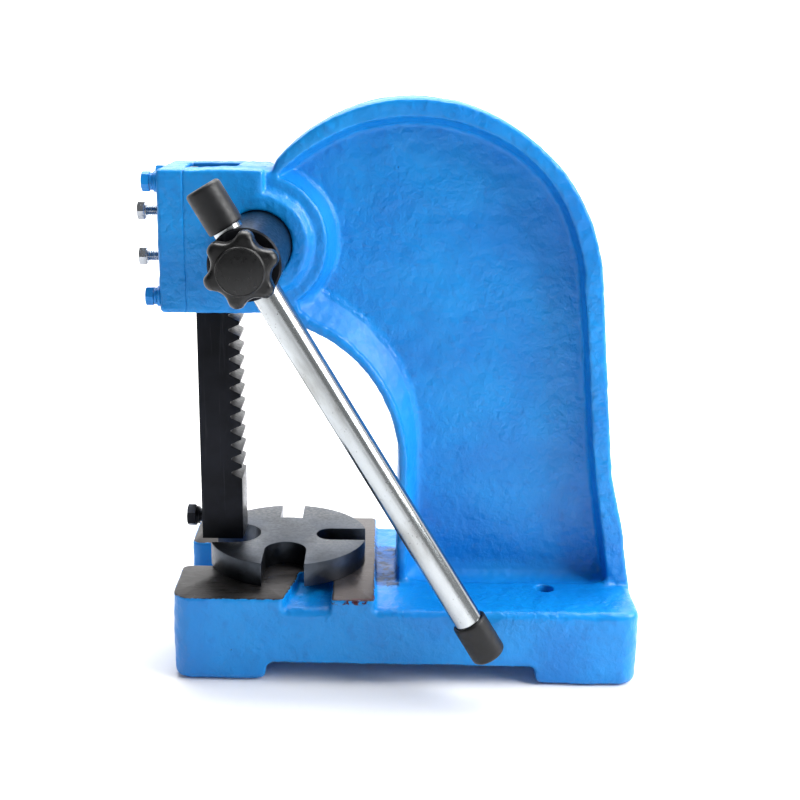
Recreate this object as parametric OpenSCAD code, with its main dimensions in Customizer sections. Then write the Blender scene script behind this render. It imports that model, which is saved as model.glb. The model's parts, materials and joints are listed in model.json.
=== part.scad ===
// Arbor press with a rack ram, a pinion turned by a sliding lever, and a slotted anvil plate.
// Millimetres. X runs from the press's front to its rear, Y from the lever side to the far side,
// Z up. The origin is on the ram's axis, at the level of the bench.

/* [Base] */
// Length of the base, front to rear
base_l = 269; // [262:1:280]
// Width of the base
base_w = 129; // [120:1:140]
// Height of the base below its machined pads
base_h = 45.5; // [42:0.5:48]
// Height of the machined pads above the base
pad_h = 6.5; // [5:0.5:8]
// Width of the notch under the ram
notch_w = 35; // [31:1:38]
// Diameter of the two bench bolt holes
bench_hole_d = 10.5; // [8.5:0.5:11]

/* [Column and head] */
// Thickness of the column's recessed web
web_t = 18; // [14:1:24]
// Width of the rim around the web
rim_w = 48; // [40:1:52]
// Width of the head
head_w = 60; // [58:1:66]
// Height of the head
head_h = 81; // [78:1:84]
// Thickness of the front cover
cover_t = 15; // [12:0.5:16]

/* [Ram and pinion] */
// Side of the square ram
ram_side = 25; // [24:0.5:26]
// Length of the ram
ram_l = 220; // [214:1:226]
// Module of the rack and pinion teeth
tooth_module = 2.8; // [2.7:0.05:2.85]
// Diameter of the pinion shaft's hub
hub_d = 38; // [38:0.5:40]
// Radial clearance of the turning and sliding fits
running_gap = 0.05; // [0.03:0.01:0.08]

/* [Lever and knob] */
// Diameter of the lever bar
lever_d = 16; // [14:0.5:16]
// Length of the lever over its caps
lever_l = 301; // [280:1:320]
// Reach of the lever's short end from the pinion axis
lever_short = 44; // [44:1:60]
// Angle of the lever's long end below the horizontal
lever_angle = 59.2; // [45:0.1:60]
// Diameter of the star knob over its lobes
knob_d = 38; // [34:1:42]

/* [Anvil plate] */
// Diameter of the anvil plate
plate_d = 99; // [96:1:100]
// Thickness of the anvil plate
plate_t = 14.3; // [12:0.1:15]

/* [Hidden] */
$fn = 64;

// Base
base_x0 = -24;
base_x1 = base_x0 + base_l;
base_corner_r = 11;
pad_z = base_h + pad_h;
pad_x1 = 93;
foot_h = 12;
front_foot_x1 = 30;
rear_foot_x0 = 186;
notch_x1 = 21;
relief_x = [43, 68];
relief_y = 24;
bench_x = 193.8;
bench_y = 29.5;
// hollow cast under the base, between its feet
core_x = [40, 180];
core_y = 52;
core_top = 33;

// Column outline: the crown has two arcs, the throat one
crown_front = [112, 227.5, 103];
crown_rear = [109, 219.5, 112];
throat = [20, 121, 86];
column_x0 = throat[0] + throat[2];
column_z0 = base_h - 8;
rear_edge = [[231.5, 113], [239, 83.5], [base_x1, base_h], [base_x1, column_z0]];
panel_crown = [112, 216, 101];
panel_throat = [1, 131, 117];
panel_rear = [[207, 250], [209.7, 209], [217.5, 135], [220.1, 113.5], [226, 91.5], [231.5, base_h]];
cove_r = 12;

// Head
head_z0 = 211;
head_z1 = head_z0 + head_h;
head_x0 = -15.5;
head_x1 = 29.6;
cover_x0 = head_x0 - cover_t;
neck_x1 = 33.4;
boss_r = 27.5;
boss_foot_r = 32.5;
ring_r = 38;
ring_foot_r = 44.3;

// Rack and pinion
pinion_teeth = 11;
pressure = 25;
pitch = PI * tooth_module;
pitch_r = tooth_module * pinion_teeth / 2;
profile_shift = 0.5;
backlash = 0.25;
rack_datum_x = ram_side / 2 - tooth_module;
rack_depth = tooth_module * 2.25;
axis_x = rack_datum_x + pitch_r + profile_shift;
axis_z = 250.3;
gear_tip_r = pitch_r + tooth_module;
gear_root_r = pitch_r - tooth_module;
gear_w = 26;
gear_side_gap = 0.3;
base_r = pitch_r * cos(pressure);
flank_steps = 6;
ram_z0 = 67.5;
rack_from = -16;
rack_to = 5;
nose_bore_d = 10;
nose_bore_l = 26;
nose_screw_z = 10.3;
nose_screw_d = 8;
nose_screw_af = 12;
nose_head_x0 = -23;
nose_head_t = 5.4;
nose_collar_d = 11.2;
nose_collar_t = 2;
hub_y0 = -98;
journal_r = 12;
journal_y1 = head_w / 2 + 0.2;

// Washer and screw on the pinion's far end
end_washer_d = 30;
end_washer_t = 2.5;
end_lock_d = 14.4;
end_lock_t = 2;
end_screw_d = 8;
end_screw_af = 13;
end_head_t = 5.3;
end_hole_l = 18;
end_lock_y = journal_y1 + end_washer_t;
end_head_y = end_lock_y + end_lock_t;

// Front cover and gib
bolt_y = 22.5;
bolt_z = [219.5, 284.6];
bolt_d = 6;
bolt_af = 10;
bolt_head_t = 4.6;
bolt_hole_gap = 0.3;
bolt_hole_l = 18;
flat_washer_d = 11.8;
flat_washer_t = 1.9;
lock_washer_d = 9.8;
lock_washer_t = 2.2;
washer_split = 1.2;
flat_x0 = cover_x0 - flat_washer_t;
lock_x0 = flat_x0 - lock_washer_t;
gib_t = 4.5;
gib_w = 24;
gib_screw_z = [239.2, 265.8];
gib_back_x = -ram_side / 2 - running_gap;
gib_front_x = gib_back_x - gib_t;
gib_end_gap = 2;
gib_head_x0 = -46.5;
thread_gap = 0.05;

// Lever and knob
lever_y = -84;
lever_long = lever_l - lever_short;
cap_d = 19.5;
cap_l = 24;
cap_wall = 3;
cap_bevel = 1.2;
cap_gap = 0.02;
knob_back_y = -104;
knob_front_y = -117;
knob_neck_d = 17;
knob_neck_l = 3;
stud_d = 8;
stud_end_y = knob_front_y + 4;
stud_clear = 0.15;
disc_r = 11.2;
disc_lip = 1;
disc_rise = 1.2;

// Anvil plate
plate_x = 39;
// half the width of each slot, and how far its inner end is from the centre
ram_slot = [15, 17];
side_slot = [12.5, 13.5];
rear_slot = [9, 17.5];
far_slot = [7, 26.5];
pivot_d = 8;
pivot_hole_l = 9;
pivot_l = 15;

// Points along an arc; c = [x, z, radius]
function arc(c, a0, a1, n) =
    [for (i = [0:n]) let (a = a0 + (a1 - a0) * i / n) [c[0] + c[2] * cos(a), c[1] + c[2] * sin(a)]];

// Involute function, in degrees
function involute(a) = tan(a) * 180 / PI - a;

// Half the angle that a pinion tooth takes up at radius r
function tooth_half_angle(r) =
    (pitch / 4 + profile_shift * tan(pressure) - backlash / 2) / pitch_r * 180 / PI
    + involute(pressure) - involute(acos(base_r / r));

function polar(r, a) = [r * cos(a), r * sin(a)];

// Lays a drawing made in X and Z into the press, w wide and centred on Y = 0
module in_profile(w) {
    rotate([90, 0, 0]) linear_extrude(w, center = true) children();
}

// Cylinder along Y from y0 to y1, at [x, z]
module bar_y(r, y0, y1, at = [0, 0], r_end = -1) {
    translate([at[0], y0, at[1]])
        rotate([-90, 0, 0]) cylinder(h = y1 - y0, r1 = r, r2 = r_end < 0 ? r : r_end);
}

// Cylinder along X from x0 to x1, at [y, z]
module bar_x(r, x0, x1, at = [0, 0]) {
    translate([x0, at[0], at[1]]) rotate([0, 90, 0]) cylinder(h = x1 - x0, r = r);
}

// Hexagonal head along X, with a flat uppermost when turn is 0
module hex_x(af, x0, x1, at = [0, 0], turn = 0) {
    translate([x0, at[0], at[1]])
        rotate([turn, 0, 0]) rotate([0, 90, 0]) cylinder(h = x1 - x0, d = af / cos(30), $fn = 6);
}

module ring_x(r, bore_r, x0, x1, at) {
    difference() {
        bar_x(r, x0, x1, at);
        bar_x(bore_r, x0 - 1, x1 + 1, at);
    }
}

module rounded_rect(x0, x1, w, r) {
    translate([x0 + r, -w / 2]) square([x1 - x0 - 2 * r, w]);
    translate([x0, -w / 2 + r]) square([x1 - x0, w - 2 * r]);
    for (x = [x0 + r, x1 - r], y = [-w / 2 + r, w / 2 - r]) translate([x, y]) circle(r);
}

// ---------- frame ----------

module column_outline() {
    polygon(concat(
        [[head_x0 + 20, head_z0], [head_x0 + 20, head_z1 - 1], [neck_x1, head_z1 - 1]],
        arc(crown_front, 138, 80, 12),
        arc(crown_rear, 76, 15, 12),
        rear_edge,
        [[column_x0, column_z0]],
        arc(throat, 0, 81, 16),
        [[neck_x1, head_z0]]
    ));
}

module panel_outline() {
    difference() {
        polygon(concat(
            arc(panel_crown, 133, 24, 14),
            panel_rear,
            [[panel_throat[0] + panel_throat[2], base_h]],
            arc(panel_throat, 0, 48, 8)
        ));
        translate([axis_x, axis_z]) circle(ring_r);
    }
}

module base_outline() {
    difference() {
        rounded_rect(base_x0, base_x1, base_w, base_corner_r);
        translate([base_x0 - 1, -notch_w / 2])
            square([notch_x1 - notch_w / 2 - base_x0 + 1, notch_w]);
        translate([notch_x1 - notch_w / 2, 0]) circle(d = notch_w);
    }
}

// One side's relief pocket between the two machined pads
module pad_relief() {
    polygon([
        [relief_x[0] - 3, -base_w / 2 - 1], [relief_x[0] + 3.5, -36], [relief_x[0] + 3.5, -relief_y],
        [relief_x[1], -relief_y], [relief_x[1], -base_w / 2 - 1]
    ]);
}

module base_body() {
    difference() {
        union() {
            linear_extrude(base_h) base_outline();
            linear_extrude(pad_z) intersection() {
                base_outline();
                translate([base_x0, -base_w / 2]) square([pad_x1 - base_x0, base_w]);
            }
        }
        translate([0, 0, base_h]) linear_extrude(pad_h + 1) {
            pad_relief();
            mirror([0, 1]) pad_relief();
        }
        translate([front_foot_x1, -base_w / 2 - 1, -1])
            cube([rear_foot_x0 - front_foot_x1, base_w + 2, foot_h + 1]);
        translate([core_x[0], -core_y, foot_h - 1])
            cube([core_x[1] - core_x[0], 2 * core_y, core_top - foot_h + 1]);
    }
}

// Concave fillet along X between the base's top and a wall on one side of Y = 0
module cove_x(x0, x1, wall_y) {
    translate([x0, -wall_y, base_h]) rotate([90, 0, 90]) linear_extrude(x1 - x0) difference() {
        translate([-cove_r, -1]) square([cove_r + 1, cove_r + 1]);
        translate([-cove_r, cove_r]) circle(cove_r);
    }
}

module column_coves() {
    for (side = [0, 1]) mirror([0, side, 0]) {
        cove_x(column_x0 + 4, base_x1 - 8, web_t / 2);
        cove_x(column_x0 + 1, panel_throat[0] + panel_throat[2], rim_w / 2);
    }
}

// Stepped boss around the pinion, no further forward or down than the head
module pinion_boss() {
    at = [axis_x, axis_z];
    intersection() {
        union() for (side = [0, 1]) mirror([0, side, 0]) {
            bar_y(boss_r, -head_w / 2, 0, at);
            bar_y(boss_r, -head_w / 2, -rim_w / 2, at, boss_foot_r);
            bar_y(ring_r, -rim_w / 2, 0, at);
            bar_y(ring_r, -rim_w / 2, -web_t / 2, at, ring_foot_r);
        }
        translate([head_x0, -head_w / 2, head_z0]) cube([2 * head_w, head_w, 2 * head_h]);
    }
}

module head_block() {
    translate([head_x0, -head_w / 2, head_z0]) cube([head_x1 - head_x0, head_w, head_h]);
    translate([head_x1 - 1, -rim_w / 2, head_z0])
        cube([neck_x1 - head_x1 + 1, rim_w, head_h]);
}

module frame_casting() {
    slide_w = ram_side + 2 * running_gap;
    color("royalblue") difference() {
        union() {
            base_body();
            in_profile(web_t) column_outline();
            in_profile(rim_w) difference() {
                column_outline();
                panel_outline();
            }
            head_block();
            pinion_boss();
            column_coves();
        }
        // ram slideway, open at the head's front
        translate([head_x0 - 1, -slide_w / 2, head_z0 - 10])
            cube([slide_w / 2 - head_x0 + 1, slide_w, head_h + 20]);
        // pinion cavity and the hub's bearing, then the far journal's bearing
        bar_y(hub_d / 2 + running_gap, -head_w / 2 - 1, gear_w / 2 + gear_side_gap, [axis_x, axis_z]);
        bar_y(journal_r + running_gap, 0, head_w / 2 + 1, [axis_x, axis_z]);
        // tapped holes for the cover bolts
        for (y = [-bolt_y, bolt_y], z = bolt_z)
            bar_x(bolt_d / 2 + thread_gap, head_x0 - 1, head_x0 + bolt_hole_l, [y, z]);
        // bench bolt holes
        for (y = [-bench_y, bench_y])
            translate([bench_x, y, -1]) cylinder(h = base_h + 20, d = bench_hole_d);
        // blind hole for the anvil's pivot pin
        translate([plate_x, 0, pad_z - pivot_hole_l]) cylinder(h = pivot_hole_l + 1, d = pivot_d);
    }
}

// ---------- front cover, its fasteners and the gib ----------

module front_cover() {
    color("royalblue") difference() {
        translate([cover_x0, -head_w / 2, head_z0]) cube([cover_t, head_w, head_h]);
        // groove that keeps the gib plate in line
        translate([gib_front_x - 0.5, -gib_w / 2 - 0.2, head_z0 - 1])
            cube([head_x0 - gib_front_x + 1.5, gib_w + 0.4, head_h + 2]);
        for (y = [-bolt_y, bolt_y], z = bolt_z)
            bar_x(bolt_d / 2 + bolt_hole_gap, cover_x0 - 1, head_x0 + 1, [y, z]);
        for (z = gib_screw_z) bar_x(bolt_d / 2 + thread_gap, cover_x0 - 1, head_x0 + 1, [0, z]);
    }
}

module cover_bolts() {
    color("royalblue") for (y = [-bolt_y, bolt_y], z = bolt_z) {
        hex_x(bolt_af, lock_x0 - bolt_head_t, lock_x0, [y, z], 30);
        bar_x(bolt_d / 2, lock_x0 - 1, head_x0 + bolt_hole_l - 3, [y, z]);
    }
}

module cover_lock_washers() {
    color("royalblue") for (y = [-bolt_y, bolt_y], z = bolt_z) difference() {
        ring_x(lock_washer_d / 2, bolt_d / 2 + bolt_hole_gap, lock_x0, flat_x0, [y, z]);
        translate([lock_x0 - 1, y - washer_split / 2, z])
            cube([lock_washer_t + 2, washer_split, lock_washer_d]);
    }
}

module cover_flat_washers() {
    color("royalblue") for (y = [-bolt_y, bolt_y], z = bolt_z)
        ring_x(flat_washer_d / 2, bolt_d / 2 + bolt_hole_gap, flat_x0, cover_x0, [y, z]);
}

module gib_plate() {
    color("dimgray") translate([gib_front_x, -gib_w / 2, head_z0 + gib_end_gap])
        cube([gib_t, gib_w, head_h - 2 * gib_end_gap]);
}

module gib_screw(z) {
    color("silver") {
        hex_x(bolt_af, gib_head_x0, gib_head_x0 + bolt_head_t, [0, z], 30);
        bar_x(bolt_d / 2, gib_head_x0 + 1, gib_front_x, [0, z]);
    }
}

module gib_screw_upper() { gib_screw(gib_screw_z[1]); }

module gib_screw_lower() { gib_screw(gib_screw_z[0]); }

// ---------- ram ----------

// Space between two rack teeth, centred on the height z
module rack_space(z) {
    wide = pitch / 4 + tooth_module * tan(pressure);
    past = wide + tan(pressure);
    narrow = pitch / 4 - (rack_depth - tooth_module) * tan(pressure);
    x_tip = ram_side / 2 + 1;
    x_root = ram_side / 2 - rack_depth;
    polygon([[x_root, z - narrow], [x_tip, z - past], [x_tip, z + past], [x_root, z + narrow]]);
}

module ram() {
    color("dimgray") difference() {
        translate([-ram_side / 2, -ram_side / 2, ram_z0]) cube([ram_side, ram_side, ram_l]);
        in_profile(ram_side + 2) for (k = [rack_from:rack_to]) rack_space(axis_z + k * pitch);
        translate([0, 0, ram_z0 - 1]) cylinder(h = nose_bore_l + 1, d = nose_bore_d);
        bar_x(nose_screw_d / 2 + thread_gap, -ram_side / 2 - 1, 0, [0, ram_z0 + nose_screw_z]);
    }
}

module ram_nose_screw() {
    at = [0, ram_z0 + nose_screw_z];
    head_end = nose_head_x0 + nose_head_t;
    collar_end = head_end + nose_collar_t;
    color([0.1, 0.1, 0.11]) {
        hex_x(nose_screw_af, nose_head_x0, head_end, at);
        bar_x(nose_collar_d / 2, head_end - 1, collar_end, at);
        bar_x(nose_screw_d / 2, collar_end - 1, -nose_bore_d / 2 - 0.4, at);
    }
}

// ---------- pinion, its far end and the lever ----------

module gear_profile() {
    polygon([for (k = [0:pinion_teeth - 1]) let (mid = 180 + k * 360 / pinion_teeth) each concat(
        [polar(gear_root_r, mid - tooth_half_angle(base_r))],
        [for (i = [0:flank_steps]) let (r = base_r + (gear_tip_r - base_r) * i / flank_steps)
            polar(r, mid - tooth_half_angle(r))],
        [for (i = [flank_steps:-1:0]) let (r = base_r + (gear_tip_r - base_r) * i / flank_steps)
            polar(r, mid + tooth_half_angle(r))],
        [polar(gear_root_r, mid + tooth_half_angle(base_r))]
    )]);
}

// Places a shape drawn along +Z on the lever's line, +Z towards the long end
module on_lever() {
    translate([axis_x, lever_y, axis_z]) rotate([0, 90 + lever_angle, 0]) children();
}

module pinion_shaft() {
    at = [axis_x, axis_z];
    color("dimgray") difference() {
        union() {
            bar_y(hub_d / 2 - 1, hub_y0, hub_y0 + 1, at, hub_d / 2);
            bar_y(hub_d / 2, hub_y0 + 1, -gear_w / 2, at);
            translate([axis_x, 0, axis_z]) in_profile(gear_w) gear_profile();
            bar_y(journal_r, gear_w / 2, journal_y1, at);
        }
        on_lever() cylinder(h = hub_d + 4, r = lever_d / 2 + running_gap, center = true);
        bar_y(stud_d / 2 + running_gap, hub_y0 - 1, lever_y, at);
        bar_y(end_screw_d / 2 + thread_gap, journal_y1 - end_hole_l, journal_y1 + 1, at);
    }
}

module pinion_end_washer() {
    at = [axis_x, axis_z];
    color("silver") difference() {
        bar_y(end_washer_d / 2, journal_y1, end_lock_y, at);
        bar_y(end_screw_d / 2 + bolt_hole_gap, journal_y1 - 1, end_lock_y + 1, at);
    }
}

module pinion_end_lock_washer() {
    at = [axis_x, axis_z];
    color("silver") difference() {
        bar_y(end_lock_d / 2, end_lock_y, end_head_y, at);
        bar_y(end_screw_d / 2 + bolt_hole_gap, end_lock_y - 1, end_head_y + 1, at);
        translate([axis_x - washer_split / 2, end_lock_y - 1, axis_z])
            cube([washer_split, end_lock_t + 2, end_lock_d]);
    }
}

module pinion_end_screw() {
    color("silver") {
        translate([axis_x, end_head_y, axis_z]) rotate([-90, 0, 0])
            cylinder(h = end_head_t, d = end_screw_af / cos(30), $fn = 6);
        bar_y(end_screw_d / 2, journal_y1 - end_hole_l + 3, end_head_y + 1, [axis_x, axis_z]);
    }
}

module lever_bar() {
    color("silver") on_lever()
        translate([0, 0, cap_wall - lever_short]) cylinder(h = lever_l - 2 * cap_wall, d = lever_d);
}

// Cup over a bar end whose outer face is at height z, open towards +Z
module lever_cap(z) {
    translate([0, 0, z]) difference() {
        union() {
            cylinder(h = cap_bevel, r1 = cap_d / 2 - cap_bevel, r2 = cap_d / 2);
            translate([0, 0, cap_bevel]) cylinder(h = cap_l - cap_bevel, d = cap_d);
        }
        translate([0, 0, cap_wall]) cylinder(h = cap_l, r = lever_d / 2 + cap_gap);
    }
}

module lever_cap_short() {
    color([0.12, 0.12, 0.13]) on_lever() lever_cap(-lever_short);
}

module lever_cap_long() {
    color([0.12, 0.12, 0.13]) on_lever() mirror([0, 0, 1]) lever_cap(-lever_long);
}

// ---------- star knob ----------

module star_outline() {
    lobes = 6;
    lobe_r = knob_d * 0.118;
    valley_r = knob_d * 0.158;
    difference() {
        union() {
            circle(knob_d * 0.41);
            for (k = [0:lobes - 1]) rotate(22 + k * 60) translate([knob_d / 2 - lobe_r, 0]) circle(lobe_r);
        }
        for (k = [0:lobes - 1]) rotate(52 + k * 60) translate([knob_d * 0.526, 0]) circle(valley_r);
    }
}

module star_knob() {
    at = [axis_x, axis_z];
    color([0.1, 0.1, 0.11]) difference() {
        union() {
            translate([axis_x, (knob_back_y + knob_front_y) / 2, axis_z])
                in_profile(knob_back_y - knob_front_y) star_outline();
            bar_y(knob_neck_d / 2, knob_back_y - 1, knob_back_y + knob_neck_l, at);
            bar_y(disc_r, knob_front_y - disc_lip, knob_back_y, at);
        }
        bar_y(stud_d / 2 + cap_gap, stud_end_y, knob_back_y + knob_neck_l + 1, at);
        bar_y(disc_r - disc_lip, knob_front_y - disc_lip - 1, knob_front_y + disc_lip, at);
    }
}

module knob_centre_cap() {
    at = [axis_x, axis_z];
    seat_r = disc_r - disc_lip - cap_gap;
    lip_y = knob_front_y - disc_lip;
    color([0.1, 0.1, 0.11]) {
        bar_y(seat_r, lip_y, knob_front_y + disc_lip, at);
        bar_y(seat_r - 2, lip_y - disc_rise, lip_y, at, seat_r);
    }
}

module knob_stud() {
    color("silver")
        bar_y(stud_d / 2, stud_end_y, lever_y - lever_d / 2 - stud_clear, [axis_x, axis_z]);
}

// ---------- anvil plate ----------

// Slot along +X; size = [half its width, distance of its inner end from the centre]
module slot(size, round_end = true) {
    start = size[1] + (round_end ? size[0] : 0);
    translate([start, -size[0]]) square([plate_d, 2 * size[0]]);
    if (round_end) translate([start, 0]) circle(size[0]);
}

module plate_outline() {
    difference() {
        circle(d = plate_d);
        rotate(180) slot(ram_slot);
        rotate(270) slot(side_slot);
        slot(rear_slot);
        rotate(90) slot(far_slot, false);
    }
}

module anvil_plate() {
    color("slategray") translate([plate_x, 0, pad_z]) difference() {
        linear_extrude(plate_t) plate_outline();
        translate([0, 0, -1]) cylinder(h = pivot_l - pivot_hole_l + 2, d = pivot_d + 2 * running_gap);
    }
}

module anvil_pivot_pin() {
    color("silver") translate([plate_x, 0, pad_z - pivot_hole_l])
        cylinder(h = pivot_l, d = pivot_d);
}

frame_casting();
front_cover();
cover_bolts();
cover_lock_washers();
cover_flat_washers();
gib_plate();
gib_screw_upper();
gib_screw_lower();
ram();
ram_nose_screw();
pinion_shaft();
pinion_end_washer();
pinion_end_lock_washer();
pinion_end_screw();
lever_bar();
lever_cap_short();
lever_cap_long();
star_knob();
knob_centre_cap();
knob_stud();
anvil_plate();
anvil_pivot_pin();
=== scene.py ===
import json
import math

import bmesh
import bpy
import numpy as np
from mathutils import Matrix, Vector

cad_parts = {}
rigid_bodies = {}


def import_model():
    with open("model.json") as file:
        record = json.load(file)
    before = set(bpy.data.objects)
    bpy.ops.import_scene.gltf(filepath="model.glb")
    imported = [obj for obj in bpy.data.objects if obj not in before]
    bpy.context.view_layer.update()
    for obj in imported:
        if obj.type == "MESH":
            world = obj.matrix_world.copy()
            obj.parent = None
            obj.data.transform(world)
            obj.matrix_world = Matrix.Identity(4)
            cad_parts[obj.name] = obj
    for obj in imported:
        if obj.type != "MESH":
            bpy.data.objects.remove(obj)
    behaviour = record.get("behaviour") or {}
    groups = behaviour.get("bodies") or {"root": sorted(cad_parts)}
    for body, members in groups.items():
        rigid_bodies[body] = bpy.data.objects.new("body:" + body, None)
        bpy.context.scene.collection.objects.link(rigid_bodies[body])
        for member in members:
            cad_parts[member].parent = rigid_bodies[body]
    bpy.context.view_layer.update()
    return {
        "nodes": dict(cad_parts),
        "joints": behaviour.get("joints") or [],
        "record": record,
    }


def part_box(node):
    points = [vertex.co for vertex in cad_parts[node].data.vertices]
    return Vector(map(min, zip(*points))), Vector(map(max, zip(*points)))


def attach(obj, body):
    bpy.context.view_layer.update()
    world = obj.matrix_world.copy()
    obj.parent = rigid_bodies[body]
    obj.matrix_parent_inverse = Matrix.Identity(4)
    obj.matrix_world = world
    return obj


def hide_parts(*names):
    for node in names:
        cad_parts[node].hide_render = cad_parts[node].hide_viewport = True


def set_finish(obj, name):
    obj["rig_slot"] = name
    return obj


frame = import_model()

import openvdb
from mathutils import Matrix, Quaternion, Vector

MM = 0.001
NODES = frame["nodes"]


# ---------- sizes, in millimetres, taken from the frame where it has them ----------
# X runs to the rear, Y away from the lever and Z up, from the ram's axis at bench level.

def box_mm(node):
    low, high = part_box(node)
    return np.array(low) / MM, np.array(high) / MM


def joint(name):
    return next(j for j in frame["joints"] if j["name"] == name)


casting_low, casting_high = box_mm("frame_casting")
cover_low, cover_high = box_mm("front_cover")
ram_low, ram_high = box_mm("ram")
plate_low, plate_high = box_mm("anvil_plate")
axis_x, _, axis_z = np.array(joint("pinion_turn")["pos_m"]) / MM

base_x0, base_x1 = casting_low[0], casting_high[0]
base_half = casting_high[1]
base_h = 45.5
pad_z = plate_low[2]  # the machined pads that the plate rests on
pad_x1 = 93.0
column_x0 = 106.0  # the column's front at the base
web_half, rim_half = 9.0, 24.0  # half the column's thickness, inside its recesses and at its rim
ram_half = ram_high[1]

head_x0, head_x1 = cover_high[0], 29.6
head_half = cover_high[1]
head_z0, head_z1 = cover_low[2], cover_high[2]
head_back = 33.4  # where the head's back meets the column
hub_bore_r, hub_bore_end = 19.4, 13.3
journal_bore_r = 12.2
bench_hole_x, bench_hole_y, bench_hole_r = 193.8, 29.5, 5.25
bolt_y, bolt_z = 22.5, (219.5, 284.6)  # the cover's four bolts


# ---------- signed distance fields ----------
# A field is negative inside the solid. Coordinates broadcast, so a flat outline stays a flat array.

def round_and(a, b, r):
    """Where both a and b are solid, with the edge between them rounded."""
    return np.minimum(np.maximum(a, b) + r, 0) + np.hypot(np.maximum(a + r, 0), np.maximum(b + r, 0)) - r


def fillet_or(a, b, r):
    """Where either is solid, with a fillet between them."""
    return -round_and(-a, -b, r)


def cut(a, b, r):
    """a with b taken away, and the edge rounded."""
    return round_and(a, -b, r)


def outline_field(x, z, points):
    """Distance to a closed outline, negative inside it."""
    nearest = np.float32(1e9)
    inside = np.zeros(np.broadcast(x, z).shape, bool)
    for (ax, az), (bx, bz) in zip(points, points[1:] + points[:1]):
        ex, ez = bx - ax, bz - az
        wx, wz = x - ax, z - az
        t = np.clip((wx * ex + wz * ez) / (ex * ex + ez * ez), 0, 1)
        nearest = np.minimum(nearest, (wx - ex * t) ** 2 + (wz - ez * t) ** 2)
        above_a, below_b, left = z >= az, z < bz, ex * wz > ez * wx
        inside ^= (above_a & below_b & left) | ~(above_a | below_b | left)
    return np.sqrt(nearest) * np.where(inside, np.float32(-1), np.float32(1))


def rounded_box(u, v, half_u, half_v, r):
    """Distance to a rectangle with rounded corners about the origin."""
    du, dv = np.abs(u) - half_u + r, np.abs(v) - half_v + r
    return np.hypot(np.maximum(du, 0), np.maximum(dv, 0)) + np.minimum(np.maximum(du, dv), 0) - r


def smoothstep(v, low, high):
    t = np.clip((v - low) / (high - low), 0, 1)
    return t * t * (3 - 2 * t)


def arc(circle, a0, a1, n):
    """n + 1 points of a circle (x, z, radius), between two angles in degrees."""
    cx, cz, r = circle
    angles = np.radians(np.linspace(a0, a1, n + 1))
    return [(cx + r * math.cos(a), cz + r * math.sin(a)) for a in angles]


def wobble(points, wavelength, seed, waves=24):
    """Smooth noise of about unit size at each point."""
    draw = np.random.default_rng(seed)
    directions = draw.normal(size=(waves, 3))
    directions /= np.linalg.norm(directions, axis=1)[:, None]
    k = 2 * math.pi / (wavelength * draw.uniform(0.6, 1.7, waves))
    phases = draw.uniform(0, 2 * math.pi, waves)
    total = np.zeros(len(points))
    for d, f, p in zip(directions, k, phases):
        total += np.cos(points @ (d * f) + p)
    return total * math.sqrt(2 / waves)


def new_object(name, points, faces, smooth=True):
    """A mesh object from points in millimetres."""
    mesh = bpy.data.meshes.new(name)
    faces = faces.tolist() if isinstance(faces, np.ndarray) else faces
    mesh.from_pydata((np.asarray(points, float) * MM).tolist(), [], faces)
    mesh.update()
    if smooth:
        mesh.shade_smooth()
    made = bpy.data.objects.new(name, mesh)
    bpy.context.scene.collection.objects.link(made)
    return made


def field_mesh(field, low, high, pitch):
    """Points and quads of the surface where the field is zero."""
    low, high = np.asarray(low, float), np.asarray(high, float)
    counts = np.ceil((high - low) / pitch).astype(int) + 1
    x, y, z = [(low[i] + pitch * np.arange(counts[i])).astype(np.float32) for i in range(3)]
    values = field(x[:, None, None], y[None, :, None], z[None, None, :])
    values = np.broadcast_to(values, counts).astype(np.float32) / pitch
    band = 3.0  # cells on each side of the surface that hold a distance
    grid = openvdb.FloatGrid(background=band)
    grid.copyFromArray(np.ascontiguousarray(np.clip(values, -band, band)))
    points, quads = grid.convertToQuads(isovalue=0.0)
    return low + points.astype(float) * pitch, quads


def settle(field, points, steps=2, reach=0.3):
    """Moves points onto the field's true surface, by up to reach at a step."""
    h = 0.05
    for _ in range(steps):
        x, y, z = points.T
        d = field(x, y, z)
        slope = np.stack([field(x + h, y, z) - d, field(x, y + h, z) - d, field(x, y, z + h) - d], 1) / h
        size = np.maximum(np.linalg.norm(slope, axis=1), 0.3)
        points = points - slope / size[:, None] * np.clip(d / size, -reach, reach)[:, None]
    return points


# ---------- the frame casting ----------

def crescent(draft):
    """Outline of the recess beside the web, in X and Z. draft is 0 at the web and 1 at the rim."""
    if draft:
        throat = arc((11.6, 116.3, 99.5), 0, 65, 26) + [(47.5, 211), (44, 226)]
    else:
        throat = arc((19, 131.7, 99.2), 0, 57, 24) + [(66.5, 218.5), (60, 222)]
    crown = []
    for a in np.radians(np.linspace(136, 11.5, 51)):
        r = 97.3 + 3.0 * smoothstep(a, 0.2, 0.8) + draft * (2.0 + 2.1 * smoothstep(a, 0.3, 1.2))
        crown.append((112 + r * math.cos(a), 216 + r * math.sin(a)))
    rear = [(208.5, 226), (209.7, 216), (213.0, 186), (217.5, 135)]
    rear += [(219.3, 119), (223.6, 93), (228, 67), (231, 45)]
    rear = [(x + 1.3 * draft, z) for x, z in rear]
    below = 20  # inside the base
    return throat + [(axis_x + 12, axis_z)] + crown + rear + [(226, below), (throat[0][0], below)]


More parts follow.
